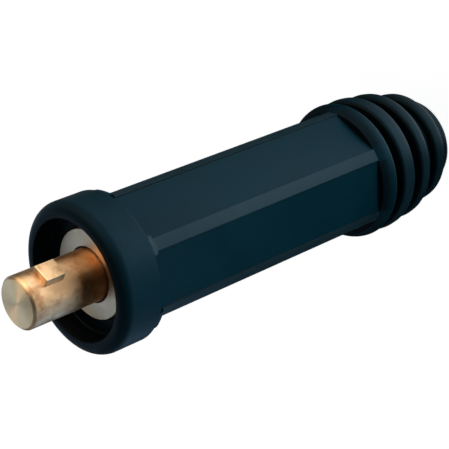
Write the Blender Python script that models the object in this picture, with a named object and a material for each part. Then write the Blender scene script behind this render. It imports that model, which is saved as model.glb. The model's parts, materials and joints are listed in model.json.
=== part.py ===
"""Male plug of a bayonet cable connector: a moulded rubber sleeve on a turned brass plug body.

The plug stands on its cable end. Z runs along its axis from the cable end to the tip of the contact pin, and
the locking lug and the clamp screws point along +X. Lengths are in metres.
"""

import math

import bmesh
import bpy
from mathutils import Matrix

MM = 0.001
SEGMENTS = 60
CLEARANCE = 0.3 * MM

# Contact pin
PIN_RADIUS = 6.5 * MM
PIN_LENGTH = 20.7 * MM
PIN_CHAMFER = 0.75 * MM
ROOT_GROOVE_WIDTH = 0.5 * MM
ROOT_GROOVE_DEPTH = 0.3 * MM
LUG_WIDTH = 4.9 * MM
LUG_LENGTH = 5.2 * MM
LUG_HEIGHT = 1.7 * MM
LUG_FROM_TIP = 4.5 * MM

# Shoulder and barrel of the plug body
SHOULDER_RADIUS = 11.25 * MM
SHOULDER_THICKNESS = 4.0 * MM
SHOULDER_CHAMFER = 0.2 * MM
BARREL_RADIUS = 11.0 * MM
BARREL_FLAT_HEIGHT = 10.25 * MM
BARREL_LENGTH = 45.0 * MM
BARREL_CHAMFER = 0.6 * MM
BORE_RADIUS = 6.4 * MM
BORE_DEPTH = 38.0 * MM
BORE_CHAMFER = 0.8 * MM
DRILL_POINT_ANGLE = 118.0

# Cable clamp
THREAD_RADIUS = 4.0 * MM
SCREW_LENGTH = 5.0 * MM
SCREW_CHAMFER = 0.6 * MM
SCREW_BELOW_FLAT = 0.2 * MM
SCREW_FROM_END = 10.0 * MM
SCREW_SPACING = 15.0 * MM
SOCKET_ACROSS_FLATS = 4.0 * MM
SOCKET_DEPTH = 2.4 * MM
SHIM_THICKNESS = 1.0 * MM
SHIM_HALF_ANGLE = 50.0
SHIM_PAST_SCREW = 7.5 * MM

# Sleeve: collar and front cup
COLLAR_RADIUS = 18.8 * MM
COLLAR_LENGTH = 13.1 * MM
COLLAR_LIP_ROUND = 2.7 * MM
COLLAR_REAR_ROUND = 2.4 * MM
COLLAR_WALL = 3.8 * MM
COLLAR_OVER_BODY = 1.73 * MM
CUP_RADIUS = COLLAR_RADIUS - COLLAR_WALL
CUP_BELOW_SHOULDER = 0.5 * MM
CUP_MOUTH_ROUND = 1.0 * MM
RIM_ABOVE_SHOULDER = 4.8 * MM

# Sleeve: body with six ribs and six flat panels
BODY_RADIUS = COLLAR_RADIUS - COLLAR_OVER_BODY
BODY_LENGTH = 75.6 * MM
PANEL_COUNT = 6
PANEL_DEPTH = 1.87 * MM
PANEL_HEIGHT = BODY_RADIUS - PANEL_DEPTH
RIB_WIDTH = 3.43 * MM
PANEL_INTO_COLLAR = 2.4 * MM
PANEL_OFF_FLARE = 0.1 * MM

# Sleeve: bend rings, from the body to the tail
RING_EDGE_ROUND = 1.0 * MM
FLARE_SWELL = 1.33 * MM
FLARE_RADIUS = BODY_RADIUS + FLARE_SWELL
FLARE_LENGTH = 4.4 * MM
RING_RADII = (18.4 * MM, 17.6 * MM, 15.4 * MM)
RING_LENGTHS = (4.8 * MM, 3.8 * MM, 4.0 * MM)
GROOVE_LENGTHS = (2.6 * MM, 3.4 * MM, 4.8 * MM)
GROOVE_FLOOR_RADII = (14.5 * MM, 14.2 * MM, 13.0 * MM)

# Sleeve: tail and cable passage
TAIL_RADIUS = 12.3 * MM
TAIL_LENGTH = 5.6 * MM
TAIL_FILLET = 0.9 * MM
TAIL_ROUND = 2.0 * MM
PASSAGE_RADIUS = 7.75 * MM
PASSAGE_ENTRY_ROUND = 1.0 * MM

# Heights that follow from the sizes above
BODY_REAR = TAIL_LENGTH + sum(RING_LENGTHS) + sum(GROOVE_LENGTHS) + FLARE_LENGTH
COLLAR_REAR = BODY_REAR + BODY_LENGTH
RIM = COLLAR_REAR + COLLAR_LENGTH
SHOULDER = RIM - RIM_ABOVE_SHOULDER
CUP_FLOOR = SHOULDER - CUP_BELOW_SHOULDER
SHOULDER_SEAT = SHOULDER - SHOULDER_THICKNESS - CLEARANCE
BARREL_SEAT = SHOULDER - SHOULDER_THICKNESS - BARREL_LENGTH - CLEARANCE

# Places in the plug body, whose own origin is the middle of the shoulder's front face
BARREL_END = -SHOULDER_THICKNESS - BARREL_LENGTH
REAR_SCREW = BARREL_END + SCREW_FROM_END
FRONT_SCREW = REAR_SCREW + SCREW_SPACING
SCREW_TOP = BARREL_FLAT_HEIGHT - SCREW_BELOW_FLAT
SHIM_TOP = SCREW_TOP - SCREW_LENGTH - CLEARANCE


def clear_scene():
    for old in list(bpy.data.objects):
        bpy.data.objects.remove(old, do_unlink=True)


def make_material(name, color, roughness, metallic):
    material = bpy.data.materials.new(name)
    material.use_nodes = True
    surface = material.node_tree.nodes["Principled BSDF"]
    surface.inputs["Base Color"].default_value = (*color, 1.0)
    surface.inputs["Roughness"].default_value = roughness
    surface.inputs["Metallic"].default_value = metallic
    return material


def add_object(name, mesh_builder, location=(0.0, 0.0, 0.0), parent=None):
    """Makes a named object from a bmesh, at a place in its parent."""
    bmesh.ops.recalc_face_normals(mesh_builder, faces=mesh_builder.faces)
    mesh = bpy.data.meshes.new(name)
    mesh_builder.to_mesh(mesh)
    mesh_builder.free()
    made = bpy.data.objects.new(name, mesh)
    made.location = location
    made.parent = parent
    bpy.context.scene.collection.objects.link(made)
    return made


def arc(centre, radius, start, end, steps):
    """Points on an arc in the profile plane, by angles in degrees from the +radius direction."""
    turns = [math.radians(start + (end - start) * step / steps) for step in range(steps + 1)]
    return [(centre[0] + radius * math.cos(turn), centre[1] + radius * math.sin(turn)) for turn in turns]


def turned(profile, closed, segments=SEGMENTS):
    """Spins a (radius, height) profile about Z. An open profile has its two ends on the axis."""
    shape = bmesh.new()
    points = [shape.verts.new((radius, 0.0, height)) for radius, height in profile]
    edges = [shape.edges.new(pair) for pair in zip(points, points[1:])]
    if closed:
        edges.append(shape.edges.new((points[-1], points[0])))
    bmesh.ops.spin(
        shape,
        geom=points + edges,
        axis=(0.0, 0.0, 1.0),
        cent=(0.0, 0.0, 0.0),
        angle=math.tau,
        steps=segments,
        use_merge=True,
    )
    bmesh.ops.remove_doubles(shape, verts=shape.verts, dist=0.0001 * MM)
    return shape


def lofted(outlines):
    """Skins a stack of (height, outline) sections with equal point counts and caps both ends."""
    shape = bmesh.new()
    rings = [[shape.verts.new((x, y, height)) for x, y in outline] for height, outline in outlines]
    shape.faces.new(rings[0])
    shape.faces.new(rings[-1])
    for lower, upper in zip(rings, rings[1:]):
        for index, corner in enumerate(lower):
            shape.faces.new((corner, lower[index - 1], upper[index - 1], upper[index]))
    return shape


def add_block(shape, low, high, turn=0.0):
    """Adds a box between two corners to a bmesh, turned about Z by an angle in degrees."""
    sides = [top - bottom for bottom, top in zip(low, high)]
    middle = [(top + bottom) / 2 for bottom, top in zip(low, high)]
    place = Matrix.Rotation(math.radians(turn), 4, "Z") @ Matrix.Translation(middle) @ Matrix.Diagonal((*sides, 1.0))
    bmesh.ops.create_cube(shape, size=1.0, matrix=place)


def add_rod(shape, radius, start, end, height, segments):
    """Adds a round rod along X to a bmesh."""
    place = Matrix.Translation(((start + end) / 2, 0.0, height)) @ Matrix.Rotation(math.pi / 2, 4, "Y")
    bmesh.ops.create_cone(
        shape,
        cap_ends=True,
        segments=segments,
        radius1=radius,
        radius2=radius,
        depth=end - start,
        matrix=place,
    )


def flatted_outline(radius, flat_height, arc_steps=3):
    """Outline of a round bar with six milled flats, one of them square to +X."""
    half_flat = math.acos(min(1.0, flat_height / radius))
    reach = math.pi / 3 - 2 * half_flat
    outline = []
    for side in range(6):
        corner = side * math.pi / 3 + half_flat
        for step in range(arc_steps + 1):
            turn = corner + reach * step / arc_steps
            outline.append((radius * math.cos(turn), radius * math.sin(turn)))
    return outline


def boolean(body, tool, operation):
    """Joins a tool to a body, or cuts it away, and keeps the tool out of the render."""
    tool.hide_render = True
    tool.display_type = "WIRE"
    step = body.modifiers.new(tool.name, "BOOLEAN")
    step.operation = operation
    step.solver = "EXACT"
    step.object = tool


def finish(body, material, sharp_above=30.0):
    """Applies the Booleans, gives the material and shades smooth between sharp edges."""
    bpy.context.view_layer.update()
    graph = bpy.context.evaluated_depsgraph_get()
    applied = bpy.data.meshes.new_from_object(body.evaluated_get(graph))
    tools = [step.object for step in body.modifiers]
    body.modifiers.clear()
    body.data = applied
    body.data.name = body.name
    for tool in tools:
        bpy.data.objects.remove(tool, do_unlink=True)
    body.data.materials.clear()
    body.data.materials.append(material)
    body.data.shade_smooth()
    body.data.set_sharp_from_angle(angle=math.radians(sharp_above))


def collar_profile():
    """The cup's mouth, the rolled lip and the collar down to the body."""
    mouth = arc((CUP_RADIUS + CUP_MOUTH_ROUND, RIM - CUP_MOUTH_ROUND), CUP_MOUTH_ROUND, 180, 90, 3)
    lip = arc((COLLAR_RADIUS - COLLAR_LIP_ROUND, RIM - COLLAR_LIP_ROUND), COLLAR_LIP_ROUND, 90, 0, 5)
    sweep = math.degrees(math.acos(max(0.0, 1.0 - COLLAR_OVER_BODY / COLLAR_REAR_ROUND)))
    centre = (COLLAR_RADIUS - COLLAR_REAR_ROUND, COLLAR_REAR + COLLAR_REAR_ROUND)
    rear = arc(centre, COLLAR_REAR_ROUND, 0, -sweep, 4)
    return mouth + lip + rear + [(BODY_RADIUS, rear[-1][1])]


def flare_profile():
    """The first bend ring, which swells out of the body along a quarter sine wave."""
    points = []
    for step in range(6):
        share = step / 6
        swell = FLARE_SWELL * math.sin(share * math.pi / 2)
        points.append((BODY_RADIUS + swell, BODY_REAR - share * (FLARE_LENGTH - RING_EDGE_ROUND)))
    centre = (FLARE_RADIUS - RING_EDGE_ROUND, BODY_REAR - FLARE_LENGTH + RING_EDGE_ROUND)
    return points + arc(centre, RING_EDGE_ROUND, 0, -90, 2)


def ring_profile():
    """The grooves and the three full bend rings, down to the tail."""
    points = []
    height = BODY_REAR - FLARE_LENGTH
    for radius, length, groove, floor in zip(RING_RADII, RING_LENGTHS, GROOVE_LENGTHS, GROOVE_FLOOR_RADII):
        points += [(floor, height), (floor, height - groove)]
        height -= groove
        points += arc((radius - RING_EDGE_ROUND, height - RING_EDGE_ROUND), RING_EDGE_ROUND, 90, 0, 2)
        height -= length
        points += arc((radius - RING_EDGE_ROUND, height + RING_EDGE_ROUND), RING_EDGE_ROUND, 0, -90, 2)
    return points


def tail_profile():
    """The tail below the last ring, its rounded end and the mouth of the cable passage."""
    fillet = arc((TAIL_RADIUS + TAIL_FILLET, TAIL_LENGTH - TAIL_FILLET), TAIL_FILLET, 90, 180, 2)
    end = arc((TAIL_RADIUS - TAIL_ROUND, TAIL_ROUND), TAIL_ROUND, 0, -90, 4)
    entry = arc((PASSAGE_RADIUS + PASSAGE_ENTRY_ROUND, PASSAGE_ENTRY_ROUND), PASSAGE_ENTRY_ROUND, 270, 180, 2)
    return fillet + end + entry


def sleeve_bore_profile():
    """The inside from the cable passage up to the cup."""
    return [
        (PASSAGE_RADIUS, BARREL_SEAT),
        (PASSAGE_RADIUS, SHOULDER_SEAT),
        (SHOULDER_RADIUS + CLEARANCE, SHOULDER_SEAT),
        (SHOULDER_RADIUS + CLEARANCE, CUP_FLOOR),
        (CUP_RADIUS, CUP_FLOOR),
    ]


def barrel_cavity():
    """The six-sided seat that keeps the plug body from turning in the sleeve."""
    outline = flatted_outline(BARREL_RADIUS + CLEARANCE, BARREL_FLAT_HEIGHT + CLEARANCE)
    return add_object("barrel_cavity", lofted([(BARREL_SEAT, outline), ((SHOULDER_SEAT + CUP_FLOOR) / 2, outline)]))


def panel_cuts():
    """Six flat cuts, which leave a rib standing between each two."""
    half_width = BODY_RADIUS * math.sin(math.pi / PANEL_COUNT - RIB_WIDTH / 2 / BODY_RADIUS)
    low = (PANEL_HEIGHT, -half_width, BODY_REAR + PANEL_OFF_FLARE)
    high = (COLLAR_RADIUS + CLEARANCE, half_width, COLLAR_REAR + PANEL_INTO_COLLAR)
    shape = bmesh.new()
    for panel in range(PANEL_COUNT):
        add_block(shape, low, high, turn=360.0 * panel / PANEL_COUNT)
    return add_object("panel_cuts", shape)


def make_sleeve(rubber):
    profile = collar_profile() + flare_profile() + ring_profile() + tail_profile() + sleeve_bore_profile()
    sleeve = add_object("sleeve", turned(profile, closed=True))
    boolean(sleeve, panel_cuts(), "DIFFERENCE")
    boolean(sleeve, barrel_cavity(), "DIFFERENCE")
    finish(sleeve, rubber)
    return sleeve


def pin_profile():
    """From the tip down over the pin, the relief groove round its root and the shoulder."""
    return [
        (0.0, PIN_LENGTH),
        (PIN_RADIUS - PIN_CHAMFER, PIN_LENGTH),
        (PIN_RADIUS, PIN_LENGTH - PIN_CHAMFER),
        (PIN_RADIUS, -ROOT_GROOVE_DEPTH),
        (PIN_RADIUS + ROOT_GROOVE_WIDTH, -ROOT_GROOVE_DEPTH),
        (PIN_RADIUS + ROOT_GROOVE_WIDTH, 0.0),
        (SHOULDER_RADIUS - SHOULDER_CHAMFER, 0.0),
        (SHOULDER_RADIUS, -SHOULDER_CHAMFER),
        (SHOULDER_RADIUS, -SHOULDER_THICKNESS),
        (0.0, -SHOULDER_THICKNESS),
    ]


def bore_profile():
    """A drilled bore with a chamfered mouth, from its drill point down past the barrel's end."""
    top = BARREL_END + BORE_DEPTH
    point = BORE_RADIUS / math.tan(math.radians(DRILL_POINT_ANGLE / 2))
    mouth = BORE_RADIUS + BORE_CHAMFER
    return [
        (0.0, top + point),
        (BORE_RADIUS, top),
        (BORE_RADIUS, BARREL_END + BORE_CHAMFER),
        (mouth + CLEARANCE, BARREL_END - CLEARANCE),
        (0.0, BARREL_END - CLEARANCE),
    ]


def barrel_shape():
    """The six-sided barrel, run up into the shoulder that it is turned with."""
    full = flatted_outline(BARREL_RADIUS, BARREL_FLAT_HEIGHT)
    end = flatted_outline(BARREL_RADIUS - BARREL_CHAMFER, BARREL_FLAT_HEIGHT - BARREL_CHAMFER)
    top = -SHOULDER_THICKNESS / 2
    return lofted([(BARREL_END, end), (BARREL_END + BARREL_CHAMFER, full), (top, full)])


def make_plug_body(brass):
    place = (0.0, 0.0, SHOULDER)
    plug_body = add_object("plug_body", turned(pin_profile(), closed=False), place)
    boolean(plug_body, add_object("barrel", barrel_shape(), place), "UNION")

    lug = bmesh.new()
    lug_top = PIN_LENGTH - LUG_FROM_TIP
    low = (PIN_RADIUS / 2, -LUG_WIDTH / 2, lug_top - LUG_LENGTH)
    add_block(lug, low, (PIN_RADIUS + LUG_HEIGHT, LUG_WIDTH / 2, lug_top))
    boolean(plug_body, add_object("locking_lug", lug, place), "UNION")

    bore = turned(bore_profile(), closed=False, segments=48)
    boolean(plug_body, add_object("cable_bore", bore, place), "DIFFERENCE")

    holes = bmesh.new()
    for height in (REAR_SCREW, FRONT_SCREW):
        add_rod(holes, THREAD_RADIUS, BORE_RADIUS / 2, BARREL_RADIUS + CLEARANCE, height, segments=32)
    boolean(plug_body, add_object("screw_holes", holes, place), "DIFFERENCE")
    finish(plug_body, brass)
    return plug_body


def make_shim(brass_sheet, plug_body):
    """A strip bent to the bore's curve. Its origin is the top of its back, on the line it slides along."""
    outer = BORE_RADIUS - CLEARANCE
    centre = (-outer, 0.0)
    outline = arc(centre, outer, -SHIM_HALF_ANGLE, SHIM_HALF_ANGLE, 10)
    outline += arc(centre, outer - SHIM_THICKNESS, SHIM_HALF_ANGLE, -SHIM_HALF_ANGLE, 10)
    reach = SCREW_SPACING / 2 + SHIM_PAST_SCREW
    middle = (REAR_SCREW + FRONT_SCREW) / 2
    place = (SHIM_TOP, 0.0, middle)
    shim = add_object("pressure_shim", lofted([(-reach, outline), (reach, outline)]), place, plug_body)
    finish(shim, brass_sheet)
    return shim


def make_clamp_screw(name, height, steel, shim):
    """A hexagon-socket set screw. Its own Z is its axis, and it is turned to point out along +X."""
    radius = THREAD_RADIUS - CLEARANCE
    profile = [
        (0.0, 0.0),
        (radius - SCREW_CHAMFER, 0.0),
        (radius, -SCREW_CHAMFER),
        (radius, SCREW_CHAMFER - SCREW_LENGTH),
        (radius - SCREW_CHAMFER, -SCREW_LENGTH),
        (0.0, -SCREW_LENGTH),
    ]
    place = (SCREW_TOP - SHIM_TOP, 0.0, height - (REAR_SCREW + FRONT_SCREW) / 2)
    screw = add_object(name, turned(profile, closed=False, segments=32), place, shim)
    screw.rotation_euler = (0.0, math.pi / 2, 0.0)

    socket = bmesh.new()
    bmesh.ops.create_cone(
        socket,
        cap_ends=True,
        segments=6,
        radius1=SOCKET_ACROSS_FLATS / math.sqrt(3),
        radius2=SOCKET_ACROSS_FLATS / math.sqrt(3),
        depth=2 * SOCKET_DEPTH,
    )
    tool = add_object(name + "_socket", socket, place, shim)
    tool.rotation_euler = screw.rotation_euler
    boolean(screw, tool, "DIFFERENCE")
    finish(screw, steel)
    return screw


def main():
    clear_scene()
    rubber = make_material("moulded_rubber", (0.009, 0.020, 0.028), roughness=0.5, metallic=0.0)
    brass = make_material("turned_brass", (0.72, 0.52, 0.26), roughness=0.28, metallic=1.0)
    sheet = make_material("brass_sheet", (0.75, 0.50, 0.22), roughness=0.35, metallic=1.0)
    steel = make_material("zinc_plated_steel", (0.55, 0.56, 0.58), roughness=0.32, metallic=1.0)

    make_sleeve(rubber)
    plug_body = make_plug_body(brass)
    shim = make_shim(sheet, plug_body)
    make_clamp_screw("clamp_screw_front", FRONT_SCREW, steel, shim)
    make_clamp_screw("clamp_screw_rear", REAR_SCREW, steel, shim)


main()
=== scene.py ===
# Male bayonet plug for a heavy cable: a ribbed rubber sleeve on a turned brass plug body.
# Lengths are written in millimetres and become metres through mm.
import json
import math

import bmesh
import bpy
from mathutils import Matrix, Vector

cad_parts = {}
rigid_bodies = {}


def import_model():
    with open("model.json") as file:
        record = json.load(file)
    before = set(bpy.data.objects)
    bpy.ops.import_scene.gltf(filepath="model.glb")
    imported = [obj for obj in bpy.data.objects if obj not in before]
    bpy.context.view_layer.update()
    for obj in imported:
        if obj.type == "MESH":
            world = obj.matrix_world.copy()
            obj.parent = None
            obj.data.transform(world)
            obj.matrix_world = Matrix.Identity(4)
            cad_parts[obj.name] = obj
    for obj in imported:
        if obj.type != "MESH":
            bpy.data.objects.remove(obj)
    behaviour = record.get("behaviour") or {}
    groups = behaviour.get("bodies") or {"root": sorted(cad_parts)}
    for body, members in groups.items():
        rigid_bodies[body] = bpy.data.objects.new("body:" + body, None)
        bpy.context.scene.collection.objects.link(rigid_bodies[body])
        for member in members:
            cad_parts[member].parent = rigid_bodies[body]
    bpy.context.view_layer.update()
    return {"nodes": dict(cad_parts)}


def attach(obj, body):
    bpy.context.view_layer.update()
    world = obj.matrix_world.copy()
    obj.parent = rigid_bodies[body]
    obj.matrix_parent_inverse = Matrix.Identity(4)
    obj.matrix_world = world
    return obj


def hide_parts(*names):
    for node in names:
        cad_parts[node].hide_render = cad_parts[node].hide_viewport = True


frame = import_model()
mm = 0.001
print("frame loaded:", ", ".join(sorted(frame["nodes"])))


def hexColour(code):
    # sRGB hex to the linear colour that a socket wants
    channels = [int(code[place:place + 2], 16) / 255 for place in (1, 3, 5)]
    return tuple(c / 12.92 if c <= 0.04045 else ((c + 0.055) / 1.055) ** 2.4 for c in channels) + (1.0,)


def addNode(tree, kind, inputs=None, **settings):
    # one node with its settings; an input is a value or the output that feeds it
    made = tree.nodes.new(kind)
    for setting, value in settings.items():
        setattr(made, setting, value)
    for key, value in (inputs or {}).items():
        if isinstance(value, bpy.types.NodeSocket):
            tree.links.new(value, made.inputs[key])
        else:
            made.inputs[key].default_value = value
    return made


def newMaterial(name):
    material = bpy.data.materials.new(name)
    material.use_nodes = True
    material.node_tree.nodes.clear()
    return material, material.node_tree


def per(spacing):
    # a texture scale that repeats about once in so many millimetres
    return 1.0 / (spacing * mm)


def arc(centre, radius, start, end, steps):
    turns = [math.radians(start + (end - start) * step / steps) for step in range(steps + 1)]
    return [(centre[0] + radius * math.cos(turn), centre[1] + radius * math.sin(turn)) for turn in turns]


def profileEdges(shape, points, closed=False):
    # a chain of vertices in the XZ plane from (radius, height) pairs
    chain = [shape.verts.new((radius * mm, 0.0, height * mm)) for radius, height in points]
    links = [shape.edges.new(pair) for pair in zip(chain, chain[1:])]
    if closed:
        links.append(shape.edges.new((chain[-1], chain[0])))
    return chain + links


def spun(points, steps):
    # a turned shape about Z
    shape = bmesh.new()
    bmesh.ops.spin(shape, geom=profileEdges(shape, points), cent=(0, 0, 0), axis=(0, 0, 1),
                   angle=math.tau, steps=steps, use_merge=True)
    bmesh.ops.remove_doubles(shape, verts=shape.verts, dist=0.0005 * mm)
    return shape


def shadeMesh(mesh, sharpAbove):
    # smooth, apart from edges that turn by more than so many degrees
    mesh.shade_smooth()
    mesh.set_sharp_from_angle(angle=math.radians(sharpAbove))


def pieceFrom(name, shape, material, sharpAbove=32):
    # the finished piece stands at the origin, with its place in its mesh
    bmesh.ops.recalc_face_normals(shape, faces=shape.faces)
    mesh = bpy.data.meshes.new(name)
    shape.to_mesh(mesh)
    shape.free()
    mesh.materials.append(material)
    shadeMesh(mesh, sharpAbove)
    piece = bpy.data.objects.new(name, mesh)
    bpy.context.scene.collection.objects.link(piece)
    return piece


def cutOrJoin(piece, tool, operation):
    # an exact Boolean, applied at once, with slivers merged and the tool thrown away
    step = piece.modifiers.new(tool.name, "BOOLEAN")
    step.operation = operation
    step.solver = "EXACT"
    step.object = tool
    bpy.context.view_layer.update()
    result = bpy.data.meshes.new_from_object(piece.evaluated_get(bpy.context.evaluated_depsgraph_get()))
    piece.modifiers.clear()
    shape = bmesh.new()
    shape.from_mesh(result)
    bmesh.ops.remove_doubles(shape, verts=shape.verts, dist=0.002 * mm)
    shape.to_mesh(result)
    shape.free()
    piece.data = result
    bpy.data.objects.remove(tool, do_unlink=True)


def spotOf(face):
    # the radius and height in mm at which a face lies
    return math.hypot(face.center.x, face.center.y) / mm, face.center.z / mm


def markFaces(piece, name, test):
    # a face attribute that tells the material where a surface is rubbed, dulled or dirty, or where shade, a highlight
    # or a reflection is painted on
    marked = piece.data.attributes.new(name, "FLOAT", "FACE")
    marked.data.foreach_set("value", [test(face) for face in piece.data.polygons])


def mouldedRubber():
    # Thermoplastic rubber, injection moulded: dull blue-black with a fine spark-eroded grain,
    # cloudy changes of sheen, edges rubbed a little paler with a painted highlight on the ribs and ring crowns,
    # and painted shade in the grooves, the steps round the panels and the cup.
    look = {
        "body": "#002531",
        "cloud": "#022b37",
        # rubbed edges, and the painted highlight on the ribs and ring crowns
        "rubbedAndHighlight": "#34474f",
        "paintedShade": "#001219",  # painted shade in the grooves, the steps round the panels and the cup
        "grain": 0.35,          # mm, the mould's grain
        "grainDepth": 0.04,     # mm
        "clouds": 14.0,         # mm, patches left by cooling and handling
        "roughness": (0.42, 0.52),
        "gloss": 0.075,         # most of it is lost in the grain
        "sheen": "#d8ecff",     # its reflections are a little blue
    }
    material, tree = newMaterial("mouldedRubber")
    place = addNode(tree, "ShaderNodeTexCoord").outputs["Object"]
    clouds = addNode(tree, "ShaderNodeTexNoise",
                     {"Vector": place, "Scale": per(look["clouds"]), "Detail": 4.0, "Roughness": 0.55})
    grain = addNode(tree, "ShaderNodeTexNoise",
                    {"Vector": place, "Scale": per(look["grain"]), "Detail": 2.0, "Roughness": 0.6})
    # rubbed edges, and a painted highlight on the ribs and ring crowns
    wearAndHighlight = addNode(tree, "ShaderNodeAttribute", attribute_name="wearAndHighlight")
    speckle = addNode(tree, "ShaderNodeMapRange",
                      {"Value": clouds.outputs["Fac"], "From Min": 0.35, "From Max": 0.7})
    tone = addNode(tree, "ShaderNodeMix",
                   {"Factor": speckle.outputs["Result"], 6: hexColour(look["body"]), 7: hexColour(look["cloud"])},
                   data_type="RGBA")
    rub = addNode(tree, "ShaderNodeMath", {0: wearAndHighlight.outputs["Fac"], 1: clouds.outputs["Fac"]}, operation="MULTIPLY")
    rubbedAndHighlight = addNode(tree, "ShaderNodeMix",
                     {"Factor": rub.outputs["Value"], 6: tone.outputs[2], 7: hexColour(look["rubbedAndHighlight"])},
                     data_type="RGBA")
    # painted shade in the grooves, the steps round the panels and the cup
    groove = addNode(tree, "ShaderNodeAttribute", attribute_name="groove")
    colour = addNode(tree, "ShaderNodeMix",
                     {"Factor": groove.outputs["Fac"], 6: rubbedAndHighlight.outputs[2], 7: hexColour(look["paintedShade"])},
                     data_type="RGBA")
    low, high = look["roughness"]
    sheen = addNode(tree, "ShaderNodeMapRange",
                    {"Value": clouds.outputs["Fac"], "From Min": 0.3, "From Max": 0.7, "To Min": low, "To Max": high})
    bump = addNode(tree, "ShaderNodeBump",
                   {"Height": grain.outputs["Fac"], "Strength": 0.25, "Distance": look["grainDepth"] * mm})
    surface = addNode(tree, "ShaderNodeBsdfPrincipled", {
        "Base Color": colour.outputs[2],
        "Roughness": sheen.outputs["Result"],
        "Specular IOR Level": look["gloss"],
        "Specular Tint": hexColour(look["sheen"]),
        "IOR": 1.5,
        "Normal": bump.outputs["Normal"],
    })
    addNode(tree, "ShaderNodeOutputMaterial", {"Surface": surface.outputs["BSDF"]})
    return material


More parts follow.
